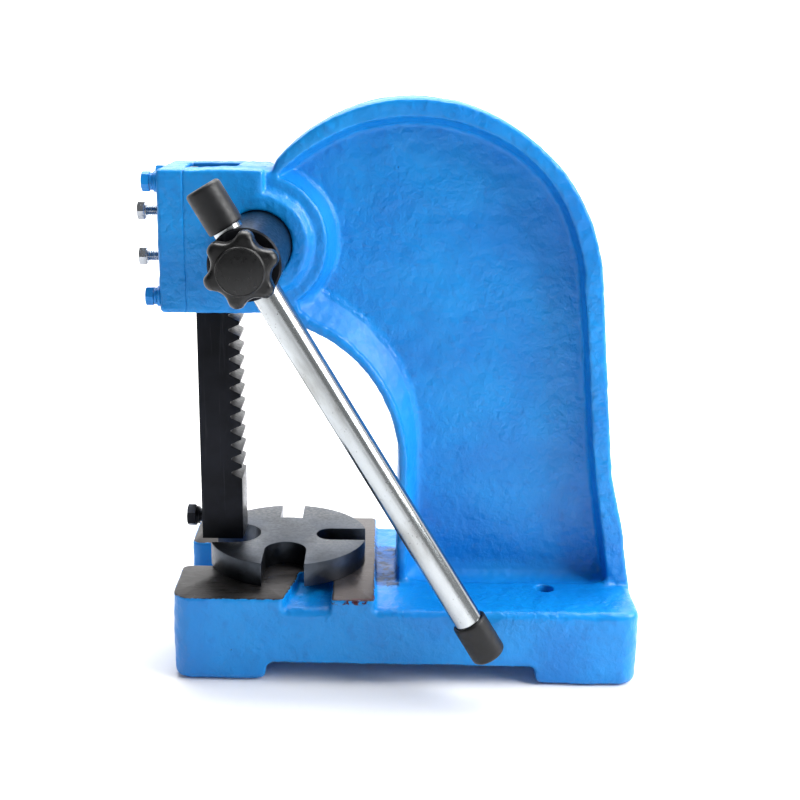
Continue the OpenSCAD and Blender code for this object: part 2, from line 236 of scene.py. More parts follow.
def column_outline():
    """Outline of the column from the head over the crown to the rear foot, and back along the throat."""
    outline = [(head_x0 + 20, head_z0), (head_x0 + 20, head_z1 - 1), (head_back, head_z1 - 1)]
    outline += arc((112, 227.5, 103), 138, 80, 26)
    outline += arc((109, 219.5, 112), 77, 21, 24)
    outline += [(216.9, 249.5), (219.2, 238.5), (220.8, 226), (231.5, 113), (239, 83.5)]
    outline += [(base_x1, base_h), (base_x1, base_h - 8), (column_x0, base_h - 8)]
    outline += arc((20, 121, 86), 0, 81, 34)
    return outline + [(head_back, head_z0)]


COLUMN = column_outline()
AT_WEB, AT_RIM = crescent(0), crescent(1)


def base_field(x, y, z):
    """The base, with the ram's notch, pads parted by a ledge on each side, and a foot at each end."""
    side = np.abs(y)
    middle, half = (base_x0 + base_x1) / 2, (base_x1 - base_x0) / 2
    plan = rounded_box(x - middle, y, half, base_half, 11)
    notch_end, notch_half = 3.5, 17.5
    notch = np.hypot(np.maximum(x - notch_end, 0), side) - notch_half
    plan = cut(plan, notch, 5)
    body = round_and(plan, z - base_h, 4.5)
    ledge_front = 46.5 - np.maximum(side - 36, 0) * 0.22
    ledge_back, ledge_inner = 68, 24
    ledge = round_and(np.maximum(ledge_front - x, x - ledge_back), ledge_inner - side, 6)
    pads = round_and(cut(plan, ledge, 2), x - pad_x1, 2.5)
    pads = round_and(pads, z - pad_z, 0.5)
    body = np.maximum(fillet_or(body, pads, 2), round_and(plan, z - pad_z, 0.5))
    body = round_and(body, -z, 5)
    arch_x, arch_half, arch_h = 108, 78, 12
    under = round_and(np.abs(x - arch_x) - arch_half, z - arch_h, 5)
    body = cut(body, fillet_or(under, z, 6), 1.6)
    core_x, core_half_x, core_half_y, core_h = 110, 70, 52, 33
    core = round_and(rounded_box(x - core_x, y, core_half_x, core_half_y, 10), z - core_h, 6)
    return cut(body, core, 2)


ring_foot_r, ring_r, boss_r = 44.3, 38.0, 27.5  # the drafted ring round the pinion, and the boss on it


def axis_distance(x, z):
    return np.hypot(x - axis_x, z - axis_z)


def column_field(x, y, z):
    """The column: a slab with a recess on each side, whose walls are drafted from the rim to the web."""
    side = np.abs(y)
    slab = round_and(outline_field(x, z, COLUMN), side - rim_half, 2.2)
    from_axis = axis_distance(x, z)
    at_web = np.maximum(outline_field(x, z, AT_WEB), ring_foot_r - from_axis)
    at_rim = np.maximum(outline_field(x, z, AT_RIM), ring_r - from_axis)
    depth = np.clip((side - web_half) / (rim_half - web_half), 0, 1.2)
    recess = (at_web * (1 - depth) + at_rim * depth) * 0.93
    recess = round_and(recess, web_half - side, 2.0)
    return cut(slab, recess, 0.9)


def head_field(x, y, z):
    """The head's block, and the ring and boss round the pinion's bore."""
    side = np.abs(y)
    block = round_and(x - head_x1, side - head_half, 3)
    block = round_and(block, np.maximum(z - head_z1, head_z0 - z), 2.2)
    block = round_and(block, head_x0 - x, 0.35)
    from_axis = axis_distance(x, z)
    boss_side = (from_axis - boss_r - (head_half - np.maximum(side, rim_half)) * 5 / 6) * 0.77
    ring_side = (from_axis - ring_r - (rim_half - np.maximum(side, web_half)) * 0.42) * 0.92
    boss = round_and(boss_side, side - head_half, 1.0)
    ring = round_and(ring_side, side - rim_half, 1.0)
    inset = 1.2  # keeps both within the block's top and bottom
    beyond = np.maximum(head_x0 + 8 - x, np.maximum(head_z0 + inset - z, z - head_z1 + inset))
    return fillet_or(block, np.maximum(fillet_or(boss, ring, 1.2), beyond), 1.0)


def machined_field(x, y, z):
    """What is cut out of the casting: the ram's slideway, the pinion's bores and the bench holes."""
    slide_half = ram_half + 0.05
    slide = np.maximum(np.abs(y) - slide_half, x - slide_half)
    slide = np.maximum(slide, head_z0 - 10 - z)
    from_axis = axis_distance(x, z)
    hub_bore = np.maximum(from_axis - hub_bore_r, y - hub_bore_end)
    journal_bore = np.maximum(from_axis - journal_bore_r, -y)
    bench_holes = np.hypot(x - bench_hole_x, np.abs(y) - bench_hole_y) - bench_hole_r
    bench_holes = np.maximum(bench_holes, z - 80)
    return np.minimum(np.minimum(slide, hub_bore), np.minimum(journal_bore, bench_holes))


def casting_field(x, y, z):
    """The whole casting, with a wide cove between column and base beside the web."""
    cove = 3 + 8 * smoothstep(x, 108, 120) * (1 - smoothstep(x, 222, 238))
    solid = fillet_or(base_field(x, y, z), column_field(x, y, z), cove)
    solid = np.maximum(solid, x - base_x1)
    solid = fillet_or(solid, head_field(x, y, z), 2.5)
    return cut(solid, machined_field(x, y, z), 0.7)


def cast_surface(made, machined, amount):
    """Adds the unevenness of a painted sand casting; machined is 1 at the points that stay true."""
    points = np.empty(3 * len(made.data.vertices))
    normals = np.empty_like(points)
    made.data.vertices.foreach_get("co", points)
    made.data.vertex_normals.foreach_get("vector", normals)
    points, normals = points.reshape(-1, 3) / MM, normals.reshape(-1, 3)
    lumps = 0.13 * wobble(points, 30, 1) + 0.08 * wobble(points, 10, 2) + 0.05 * wobble(points, 4.6, 3)
    points += normals * (lumps * amount * (1 - machined))[:, None]
    made.data.vertices.foreach_set("co", (points * MM).ravel())
    made.data.update()


def apply_modifiers(made):
    """Makes what the modifiers show the mesh itself."""
    shown = made.evaluated_get(bpy.context.evaluated_depsgraph_get())
    mesh = bpy.data.meshes.new_from_object(shown)
    made.modifiers.clear()
    made.data = mesh


def frame_casting():
    """The casting's surface, thinned so that it stays within the triangles that one piece may have."""
    pitch = 0.9
    most_triangles = 190000
    margin = 2 * pitch
    points, quads = field_mesh(casting_field, casting_low - margin, casting_high + margin, pitch)
    x, y, z = points.T
    on_pad = (np.abs(z - pad_z) < 0.6) & (x < pad_x1 + 1)
    bored = np.abs(machined_field(x, y, z)) < 0.3
    made = new_object("frame_casting_look", points, quads)
    cast_surface(made, np.clip(on_pad.astype(float) + bored + (z < 1), 0, 1), 1.0)
    thin = made.modifiers.new("thin", "DECIMATE")
    thin.ratio = min(1.0, most_triangles / (2 * len(quads)))
    apply_modifiers(made)
    return made


casting = frame_casting()
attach(casting, "frame")
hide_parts("frame_casting")
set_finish(casting, "blue_paint")


def cover_field(x, y, z):
    """The cover: a block flush with the head, a little way into it, with a groove for the gib."""
    side = np.abs(y)
    middle, half = (head_z0 + head_z1) / 2, (head_z1 - head_z0) / 2
    into_head, groove_half, groove_x = 0.3, 12.2, -17.55
    block = rounded_box(y, z - middle, head_half, half, 2.5)
    block = round_and(block, cover_low[0] - x, 2.5)
    block = round_and(block, x - head_x0 - into_head, 0.2)
    groove = np.maximum(side - groove_half, groove_x - x)
    return cut(block, groove, 0.3)


def front_cover():
    """The cover's surface."""
    points, quads = field_mesh(cover_field, cover_low - 3, cover_high + 3, 0.8)
    made = new_object("front_cover_look", points, quads)
    cast_surface(made, (points[:, 0] > head_x0 - 1).astype(float), 0.8)
    return made


cover = front_cover()
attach(cover, "frame")
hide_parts("front_cover")
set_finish(cover, "blue_paint")


# ---------- turned and milled pieces ----------

def along(origin, direction):
    """A frame in millimetres whose Z axis runs along direction."""
    turn = Vector(direction).normalized().to_track_quat("Z", "Y")
    return Matrix.Translation(Vector(origin)) @ turn.to_matrix().to_4x4()


def turned(profile, place, segments=72, closed=False, sweep=(0.0, 360.0), rise=0.0):
    """Points and faces of a profile of (radius, height) turned about Z.

    Radius and height may each be a function of the angle, and a radius of 0 makes a pole. closed joins
    the profile's ends, as on a ring. A sweep under 360 degrees is capped. A whole turn climbs by rise."""
    full = abs(sweep[1] - sweep[0]) >= 360
    angles = np.radians(np.linspace(*sweep, segments + (not full), endpoint=not full))
    points, rings = [], []
    for radius, height in profile:
        r = radius(angles) if callable(radius) else np.full(len(angles), float(radius))
        h = height(angles) if callable(height) else np.full(len(angles), float(height))
        h = h + rise * (angles - angles[0]) / (2 * math.pi)
        if r.max() < 1e-9:
            rings.append([len(points)] * len(angles))
            points.append((0, 0, h[0]))
        else:
            rings.append(list(range(len(points), len(points) + len(angles))))
            points += list(zip(r * np.cos(angles), r * np.sin(angles), h))
    faces = []
    pairs = list(zip(rings, rings[1:])) + ([(rings[-1], rings[0])] if closed else [])
    for a, b in pairs:
        for i in range(len(angles) - (not full)):
            j = (i + 1) % len(angles)
            face = [a[i], a[j], b[j], b[i]]
            face = [v for n, v in enumerate(face) if v not in face[:n]]
            faces.append(face)
    if not full:
        faces.append([ring[0] for ring in rings])
        faces.append([ring[-1] for ring in rings][::-1])
    points = [tuple(place @ Vector(p)) for p in points]
    return points, faces


def joined(*shapes):
    """Several shapes as one."""
    points, faces = [], []
    for p, f in shapes:
        faces += [[v + len(points) for v in face] for face in f]
        points += p
    return points, faces


def finished(name, shape, body, slot, replaced=(), sharp=35):
    """A piece from a shape, with its flat faces crisp, riding on a body in place of CAD nodes."""
    piece = new_object(name, *shape)
    fresh = bmesh.new()
    fresh.from_mesh(piece.data)
    bmesh.ops.recalc_face_normals(fresh, faces=fresh.faces)
    fresh.to_mesh(piece.data)
    fresh.free()
    piece.data.set_sharp_from_angle(angle=math.radians(sharp))
    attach(piece, body)
    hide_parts(*replaced)
    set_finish(piece, slot)
    return piece


def rounded(radius, height, r, steps=5, top=True):
    """Profile points round a turned edge, from the side to the top face or from the bottom to the side."""
    angles = np.radians(np.linspace(0, 90, steps + 1))
    arc_points = [(radius - r + r * math.cos(a), height - r + r * math.sin(a)) for a in angles]
    if top:
        return arc_points
    return [(x, 2 * height - z) for x, z in arc_points][::-1]


def hex_head(across_flats, thickness, place):
    """A hexagonal head with its corners chamfered, its outer face at z = thickness."""
    def radius(angles):
        return across_flats / 2 / np.cos((angles + math.pi / 6) % (math.pi / 3) - math.pi / 6)

    def scaled(share):
        return lambda angles: radius(angles) * share

    face_r = across_flats * 0.465  # of the flat face inside the chamfer

    def slope(angles):
        return thickness - (radius(angles) - face_r) * 0.5

    profile = [(0, thickness), (face_r * 0.96, thickness), (face_r, thickness - 0.06), (radius, slope)]
    profile += [(radius, 0.35), (scaled(0.975), 0.0), (0, 0)]
    return turned(profile, place, 72)


def thread(radius, length, pitch, place):
    """A threaded shank from z = -length up to 0."""
    depth = 0.55 * pitch
    heights = np.arange(-length, 0.01, pitch / 6)

    def crest(height):
        return lambda a: radius - depth * np.abs(2 * ((height / pitch - a / (2 * math.pi)) % 1) - 1)

    return turned([(0, -length)] + [(crest(h), h) for h in heights] + [(0, 0)], place, 40)


def washer(outer, inner, thickness, place, split=False):
    """A flat washer, or a spring washer that climbs from one side of its split to the other."""
    edge = 0.25
    profile = [(inner, edge), (inner, thickness - edge), (inner + edge, thickness)]
    profile += [(outer - edge, thickness), (outer, thickness - edge), (outer, edge)]
    profile += [(outer - edge, 0), (inner + edge, 0)]
    if split:
        return turned(profile, place, 60, closed=True, sweep=(96, 444), rise=0.35)
    return turned(profile, place, 60, closed=True)


FRONT = (-1, 0, 0)
m6_flats, m6_head, m6_bore = 10, 4.6, 3.3  # an M6 head across its flats, its height, a washer's bore radius
flat_t, lock_t = 1.9, 1.8
lock_x = cover_low[0] - flat_t
bolt_head_x = cover_low[0] - 4.1


def cover_fasteners():
    """Bolts, spring washers and flat washers, each bolt stopped at its own angle."""
    spots = [(y, z) for y in (-bolt_y, bolt_y) for z in bolt_z]
    heads, locks, flats = [], [], []
    for (y, z), stopped in zip(spots, (37, 19, 46, 33)):
        turn = Matrix.Rotation(math.radians(stopped), 4, "Z")
        heads.append(hex_head(m6_flats, m6_head, along((bolt_head_x, y, z), FRONT) @ turn))
        locks.append(washer(4.9, m6_bore, lock_t, along((lock_x, y, z), FRONT), split=True))
        flats.append(washer(5.9, m6_bore, flat_t, along((cover_low[0], y, z), FRONT)))
    finished("cover_bolts_look", joined(*heads), "frame", "blue_paint", ["cover_bolts"])
    finished("cover_lock_washers_look", joined(*locks), "frame", "blue_paint", ["cover_lock_washers"])
    finished("cover_flat_washers_look", joined(*flats), "frame", "blue_paint", ["cover_flat_washers"])


def gib_screws():
    """Two M6 screws in the cover, which press on the gib."""
    for name in ("gib_screw_upper", "gib_screw_lower"):
        low, high = box_mm(name)
        under_head = low[0] + m6_head
        turn = Matrix.Rotation(math.radians(30), 4, "Z")
        place = along((under_head, 0, (low[2] + high[2]) / 2), FRONT) @ turn
        shank = thread(3.0, high[0] - under_head, 1.0, place)
        collar = turned([(0, 0), (4.6, 0), (4.6, -0.5), (0, -0.5)], place, 48)
        shape = joined(hex_head(m6_flats, m6_head, place), collar, shank)
        finished(name + "_look", shape, "frame", "zinc_steel", [name])


def nose_screw():
    """The screw that clamps a tool in the ram's nose."""
    low, high = box_mm("ram_nose_screw")
    head_t = 5.4
    place = along((low[0] + head_t, 0, (low[2] + high[2]) / 2), FRONT)
    collar = turned([(0, 0)] + rounded(5.6, 0, 0.8) + [(5.6, -2.0), (0, -2.0)], place)
    shank = turned([(0, -1.9), (4, -1.9), (4, -12), (0, -12)], place, 48)
    shape = joined(hex_head(12, head_t, place), collar, shank)
    finished("ram_nose_screw_look", shape, "ram_body", "black_oxide", ["ram_nose_screw"])


def far_end():
    """The washer, lock washer and screw on the pinion's far end."""
    out = (0, 1, 0)
    low, high = box_mm("pinion_end_washer")
    lock_low, lock_high = box_mm("pinion_end_lock_washer")
    screw_low, screw_high = box_mm("pinion_end_screw")
    m8_flats, m8_bore, m8_shank = 13, 4.3, 4

    def at(y):
        return along((axis_x, y, axis_z), out)

    flat = washer(high[0] - axis_x, m8_bore, high[1] - low[1], at(low[1]))
    finished("pinion_end_washer_look", flat, "pinion", "zinc_steel", ["pinion_end_washer"])
    spring = washer(7.2, m8_bore, 1.65, at(lock_low[1]), split=True)
    finished("pinion_end_lock_washer_look", spring, "pinion", "zinc_steel", ["pinion_end_lock_washer"])
    head = hex_head(m8_flats, screw_high[1] - lock_high[1], at(lock_high[1]))
    tip = screw_low[1] - lock_high[1]
    shank = turned([(0, 0.1), (m8_shank, 0.1), (m8_shank, tip), (0, tip)], at(lock_high[1]), 48)
    finished("pinion_end_screw_look", joined(head, shank), "pinion", "zinc_steel", ["pinion_end_screw"])


slide_axis = Vector(joint("lever_slide")["axis"])
lever_low, lever_high = box_mm("lever_bar")
lever_y = (lever_low[1] + lever_high[1]) / 2
lever_r = (lever_high[1] - lever_low[1]) / 2
lever_short, lever_long = 44.0, 257.0  # from the pinion's axis to the ends of the caps
cap_r, cap_l, cap_wall = 9.75, 24.0, 3.0


def lever():
    """The bar, and a rubber cap on each end."""
    to_long = along((axis_x, lever_y, axis_z), -slide_axis)
    ends = (cap_wall - lever_short, lever_long - cap_wall)
    profile = [(0, ends[0])] + rounded(lever_r, ends[0], 0.8, top=False)
    profile += [(lever_r, h) for h in np.linspace(ends[0] + 2, ends[1] - 2, 24)]
    profile += rounded(lever_r, ends[1], 0.8) + [(0, ends[1])]
    finished("lever_bar_look", turned(profile, to_long, 96), "lever", "plated_bar", ["lever_bar"], sharp=60)
    for name, end, direction in (("lever_cap_short", lever_short, slide_axis),
                                 ("lever_cap_long", lever_long, -slide_axis)):
        place = along((axis_x, lever_y, axis_z), direction)
        mouth = end - cap_l
        bore = lever_r + 0.03
        profile = [(0, end - cap_wall), (bore, end - cap_wall), (bore, mouth + 0.5), (bore + 0.4, mouth)]
        profile += [(cap_r - 0.6, mouth), (cap_r - 0.1, mouth + 0.5), (cap_r, mouth + 1.6)]
        profile += [(cap_r, h) for h in np.linspace(mouth + 4, end - 4, 6)]
        profile += rounded(cap_r, end, 2.2, 8) + [(cap_r * 0.45, end), (0, end)]
        finished(name + "_look", turned(profile, place, 80), "lever", "black_rubber", [name], sharp=50)


knob_back, knob_front = -104.0, -117.0
KNOB_LOBES = [math.radians(22 + 60 * k) for k in range(6)]
disc_r, disc_sunk = 11.3, 0.8  # the seat of the disc in the knob's face


def star(u, v):
    """Outline of the knob's six lobes, with a round valley between each two."""
    def circle(angle, distance, radius):
        return np.hypot(u - distance * math.cos(angle), v - distance * math.sin(angle)) - radius

    outline = np.hypot(u, v) - 16.0
    for a in KNOB_LOBES:
        outline = fillet_or(outline, circle(a, 14.7, 5.0), 2.0)
    for a in KNOB_LOBES:
        outline = cut(outline, circle(a + math.radians(30), 21.2, 6.0), 1.5)
    return outline


def knob_field(x, y, z):
    """The knob: a domed star with a neck towards the hub, a boss in front and a seat for its disc."""
    u, v = x - axis_x, z - axis_z
    radius = np.hypot(u, v)
    dome = 0.0035 * radius ** 2
    middle, half = (knob_back + knob_front) / 2, (knob_back - knob_front) / 2
    body = round_and(star(u, v), np.abs(y - middle) - half + dome * (y < middle), 3.8)
    neck = round_and(radius - 8.5, y - knob_back - 3, 0.6)
    neck = np.maximum(neck, knob_back - 4 - y)
    boss = round_and(radius - 12.2, knob_front - 0.6 - y, 0.5)
    boss = np.maximum(boss, y - knob_back)
    body = fillet_or(fillet_or(body, neck, 1.0), boss, 0.6)
    seat = np.maximum(radius - disc_r, y - knob_front - disc_sunk)
    stud = np.maximum(radius - 4.02, knob_front + 4 - y)
    return cut(body, np.minimum(seat, stud), 0.2)


def star_knob():
    """The knob, and the domed disc in its face."""
    reach = np.array([20.5, 0, 20.5])
    low = np.array([axis_x, knob_front - 3, axis_z]) - reach
    high = np.array([axis_x, knob_back + 5, axis_z]) + reach
    points, quads = field_mesh(knob_field, low, high, 0.5)
    points = settle(knob_field, points)
    knob = new_object("star_knob_look", points, quads)
    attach(knob, "knob")
    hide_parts("star_knob")
    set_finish(knob, "black_plastic")
    place = along((axis_x, knob_front + disc_sunk, axis_z), (0, -1, 0))
    outer, rim_h, dome_h = disc_r + 0.15, 1.35, 1.5
    profile = [(0, 0), (outer, 0)]
    profile += [(outer * share, rim_h + dome_h * (1 - share ** 2)) for share in np.linspace(1, 0, 12)]
    finished("knob_centre_cap_look", turned(profile, place, 96), "knob", "black_plastic",
             ["knob_centre_cap"], sharp=60)


# ---------- ram and anvil plate ----------

tooth_module, pressure, rack_depth = 2.8, math.radians(25), 6.3
rack_pitch = math.pi * tooth_module
tool_bore_r, tool_bore_depth = 5, 26


def prism(outline, place, thickness, bevel):
    """A flat outline made thickness thick along Z, every edge bevelled."""
    made = bmesh.new()
    face = made.faces.new([made.verts.new((*p, 0)) for p in outline])
    top = bmesh.ops.extrude_face_region(made, geom=[face])["geom"]
    raised = [v for v in top if isinstance(v, bmesh.types.BMVert)]
    bmesh.ops.translate(made, verts=raised, vec=(0, 0, thickness))
    bmesh.ops.recalc_face_normals(made, faces=made.faces)
    sharp = [e for e in made.edges if e.calc_face_angle(0) > math.radians(20)]
    bmesh.ops.bevel(made, geom=sharp, offset=bevel, segments=2, profile=0.6, affect="EDGES")
    bmesh.ops.triangulate(made, faces=[f for f in made.faces if len(f.verts) > 4])
    made.verts.index_update()
    points = [tuple(place @ v.co) for v in made.verts]
    faces = [[v.index for v in f.verts] for f in made.faces]
    made.free()
    return points, faces


def rack_outline():
    """The ram's side, with its teeth towards +X, and the topmost gap open at the ram's top."""
    outline = [(-ram_half, ram_low[2]), (ram_half, ram_low[2])]
    tip = rack_pitch / 4 + tooth_module * math.tan(pressure)  # half a gap's width at the ram's face
    root = rack_pitch / 4 - (rack_depth - tooth_module) * math.tan(pressure)  # and at its root
    for k in range(-16, 5):
        z = axis_z + k * rack_pitch
        outline += [(ram_half, z - tip), (ram_half - rack_depth, z - root)]
        outline += [(ram_half - rack_depth, z + root), (ram_half, z + tip)]
    (x0, z0), (x1, z1) = outline[-2:]
    top = ram_high[2]
    outline[-1] = (x0 + (x1 - x0) * (top - z0) / (z1 - z0), top)
    return outline + [(-ram_half, top)]


def cut_hole(piece, place, radius, depth):
    """Bores a hole down -Z from place."""
    profile = [(0, -depth), (radius, -depth), (radius, 2), (0, 2)]
    cutter = new_object("cutter", *turned(profile, place, 64))
    hole = piece.modifiers.new("hole", "BOOLEAN")
    hole.object, hole.operation, hole.solver = cutter, "DIFFERENCE", "EXACT"
    apply_modifiers(piece)
    bpy.data.objects.remove(cutter)


def ram():
    """The ram, square but for its teeth, with the bore that takes a tool."""
    upright = Matrix(((1, 0, 0, 0), (0, 0, 1, -ram_half), (0, 1, 0, 0), (0, 0, 0, 1)))
    shape = prism(rack_outline(), upright, 2 * ram_half, 0.35)
    piece = finished("ram_look", shape, "ram_body", "black_oxide", ["ram"], sharp=30)
    cut_hole(piece, along((0, 0, ram_low[2]), (0, 0, -1)), tool_bore_r, tool_bore_depth)


def slot_points(direction, half_width, inner, round_end, radius):
    """One slot of the plate's outline, entered and left on the outer circle, anticlockwise."""
    mouth = math.sqrt(radius ** 2 - half_width ** 2)
    line = [(mouth, -half_width)]
    if round_end:
        middle = inner + half_width
        angles = np.radians(np.linspace(-90, -270, 19))
        line += [(middle + half_width * math.cos(a), half_width * math.sin(a)) for a in angles]
    else:
        line += [(inner, -half_width), (inner, half_width)]
    line.append((mouth, half_width))
    c, s = math.cos(direction), math.sin(direction)
    return [(c * x - s * y, s * x + c * y) for x, y in line]


# each slot's direction in degrees, its half width, how near the middle it ends, and whether its end is round
SLOTS = [(0, 9, 17.5, True), (90, 7, 26.5, False), (180, 15, 17, True), (270, 12.5, 13.5, True)]


def anvil_plate():
    """The round plate, its outer edge an arc between each two slots."""
    radius = (plate_high[1] - plate_low[1]) / 2
    outline = []
    for slot, after in zip(SLOTS, SLOTS[1:] + SLOTS[:1]):
        degrees, half_width, inner, round_end = slot
        outline += slot_points(math.radians(degrees), half_width, inner, round_end, radius)
        start = math.radians(degrees) + math.asin(half_width / radius)
        stop = math.radians(degrees + 90) - math.asin(after[1] / radius)
        edge = np.linspace(start, stop, 26)[1:-1]
        outline += [(radius * math.cos(a), radius * math.sin(a)) for a in edge]
    x, y, _ = np.array(joint("plate_turn")["pos_m"]) / MM
    thickness = plate_high[2] - plate_low[2]
    shape = prism(outline, Matrix.Translation((x, y, plate_low[2])), thickness, 0.45)
    finished("anvil_plate_look", shape, "plate", "machined_steel", ["anvil_plate"], sharp=30)


cover_fasteners()
gib_screws()
nose_screw()
far_end()
lever()
star_knob()
ram()
anvil_plate()


# ---------- materials ----------

def rgb(r, g, b):
    """A colour given as sRGB 0 to 255, as the linear values that a shader takes."""
    def linear(v):
        v /= 255
        return v / 12.92 if v <= 0.04045 else ((v + 0.055) / 1.055) ** 2.4

    return (linear(r), linear(g), linear(b), 1.0)


class Look:
    """A material being built: a socket is set to a value, or linked where the value is a socket.

    Patterns are laid out in metres in the object's own space, so a scale of 100 gives a grain of 10 mm."""

    def __init__(self, name, **constants):
        self.material = bpy.data.materials.new(name)
        self.material.use_nodes = True
        self.tree = self.material.node_tree
        self.shader = self.tree.nodes["Principled BSDF"]
        for socket, value in constants.items():
            self.set(self.shader, socket.replace("_", " "), value)
        self.place = self.add("ShaderNodeTexCoord").outputs["Object"]

    def set(self, node, socket, value):
        socket = node.inputs[socket]
        if isinstance(value, bpy.types.NodeSocket):
            self.tree.links.new(value, socket)
        else:
            socket.default_value = value

    def add(self, kind, inputs=None, **settings):
        node = self.tree.nodes.new(kind)
        for name, value in settings.items():
            setattr(node, name, value)
        for socket, value in (inputs or {}).items():
            self.set(node, socket, value)
        return node

    def noise(self, scale, detail=3.0, roughness=0.55, stretch=None, distortion=0.0):
        place = self.place
        if stretch:
            place = self.add("ShaderNodeMapping", {"Vector": place, "Scale": stretch}).outputs[0]
        inputs = {"Vector": place, "Scale": scale, "Detail": detail, "Roughness": roughness,
                  "Distortion": distortion}
        return self.add("ShaderNodeTexNoise", inputs).outputs[0]

    def cells(self, scale):
        """Distance to the nearest of many scattered points, in cells."""
        return self.add("ShaderNodeTexVoronoi", {"Vector": self.place, "Scale": scale}).outputs["Distance"]

    def ramp(self, value, low, high, to_low=0.0, to_high=1.0):
        """A smooth step of value from low to high."""
        inputs = {"Value": value, "From Min": low, "From Max": high, "To Min": to_low, "To Max": to_high}
        return self.add("ShaderNodeMapRange", inputs, interpolation_type="SMOOTHSTEP").outputs[0]

    def math(self, operation, a, b=0.0):
        return self.add("ShaderNodeMath", {0: a, 1: b}, operation=operation).outputs[0]

    def mix(self, factor, a, b):
        inputs = {0: factor, 6: a, 7: b}
        return self.add("ShaderNodeMix", inputs, data_type="RGBA").outputs[2]

    def blend(self, factor, a, b):
        return self.add("ShaderNodeMix", {0: factor, 2: a, 3: b}, data_type="FLOAT").outputs[0]

    def axis(self, name):
        return self.add("ShaderNodeSeparateXYZ", {0: self.place}).outputs[name]

    def total(self, *terms):
        """The sum of (socket, weight) pairs."""
        total = 0.0
        for socket, weight in terms:
            inputs = {0: socket, 1: weight, 2: total}
            total = self.add("ShaderNodeMath", inputs, operation="MULTIPLY_ADD").outputs[0]
        return total

    def relief(self, height):
        """Bump from a height in millimetres."""
        inputs = {"Height": height, "Distance": MM, "Strength": 1.0}
        self.set(self.shader, "Normal", self.add("ShaderNodeBump", inputs).outputs[0])


def paint_parts(look):
    """Colour, roughness and height in millimetres of blue enamel over a rough casting."""
    # the last colour is painted shade, a darker blue laid into the pits
    deep, light, thin, pit_shade = rgb(4, 120, 202), rgb(8, 138, 217), rgb(3, 102, 184), rgb(3, 42, 92)
    broad, peel = look.noise(18, 3), look.noise(820, 2)
    grain = look.noise(300, 3, 0.5, distortion=0.4)
    lumps, runs = look.noise(120, 3, 0.5), look.noise(60, 3, 0.5, stretch=(1, 1, 0.35))
    rough_patch = look.ramp(look.noise(26, 2), 0.42, 0.62, 0.45, 1.0)
    pits = look.ramp(look.cells(140), 0.085, 0.03)
    pits = look.math("MULTIPLY", pits, look.ramp(look.noise(45, 2), 0.58, 0.7))
    colour = look.mix(look.ramp(broad, 0.3, 0.7), deep, light)
    colour = look.mix(look.ramp(lumps, 0.56, 0.8, 0, 0.5), colour, thin)
    # painted shade: the pits are darkened towards a shaded blue
    colour = look.mix(look.math("MULTIPLY", pits, 0.6), colour, pit_shade)
    roughness = look.ramp(grain, 0.3, 0.7, 0.28, 0.4)
    fine = look.math("MULTIPLY", look.total((grain, 0.75), (peel, 0.16)), rough_patch)
    height = look.total((fine, 1.0), (lumps, 0.7), (runs, 0.5), (pits, -0.35))
    return colour, roughness, height


PAINT_GLOSS = 0.38


def blue_paint():
    """The enamel alone, for the cover and its bolts."""
    look = Look("blue_paint", Specular_IOR_Level=PAINT_GLOSS)
    colour, roughness, height = paint_parts(look)
    look.set(look.shader, "Base Color", colour)
    look.set(look.shader, "Roughness", roughness)
    look.relief(height)
    return look.material


def inside(look, value, low, high, soft):
    """1 where value lies between low and high, fading out over soft, all in millimetres."""
    rise = look.ramp(value, (low - soft) * MM, low * MM)
    return look.math("MULTIPLY", rise, look.ramp(value, (high + soft) * MM, high * MM))


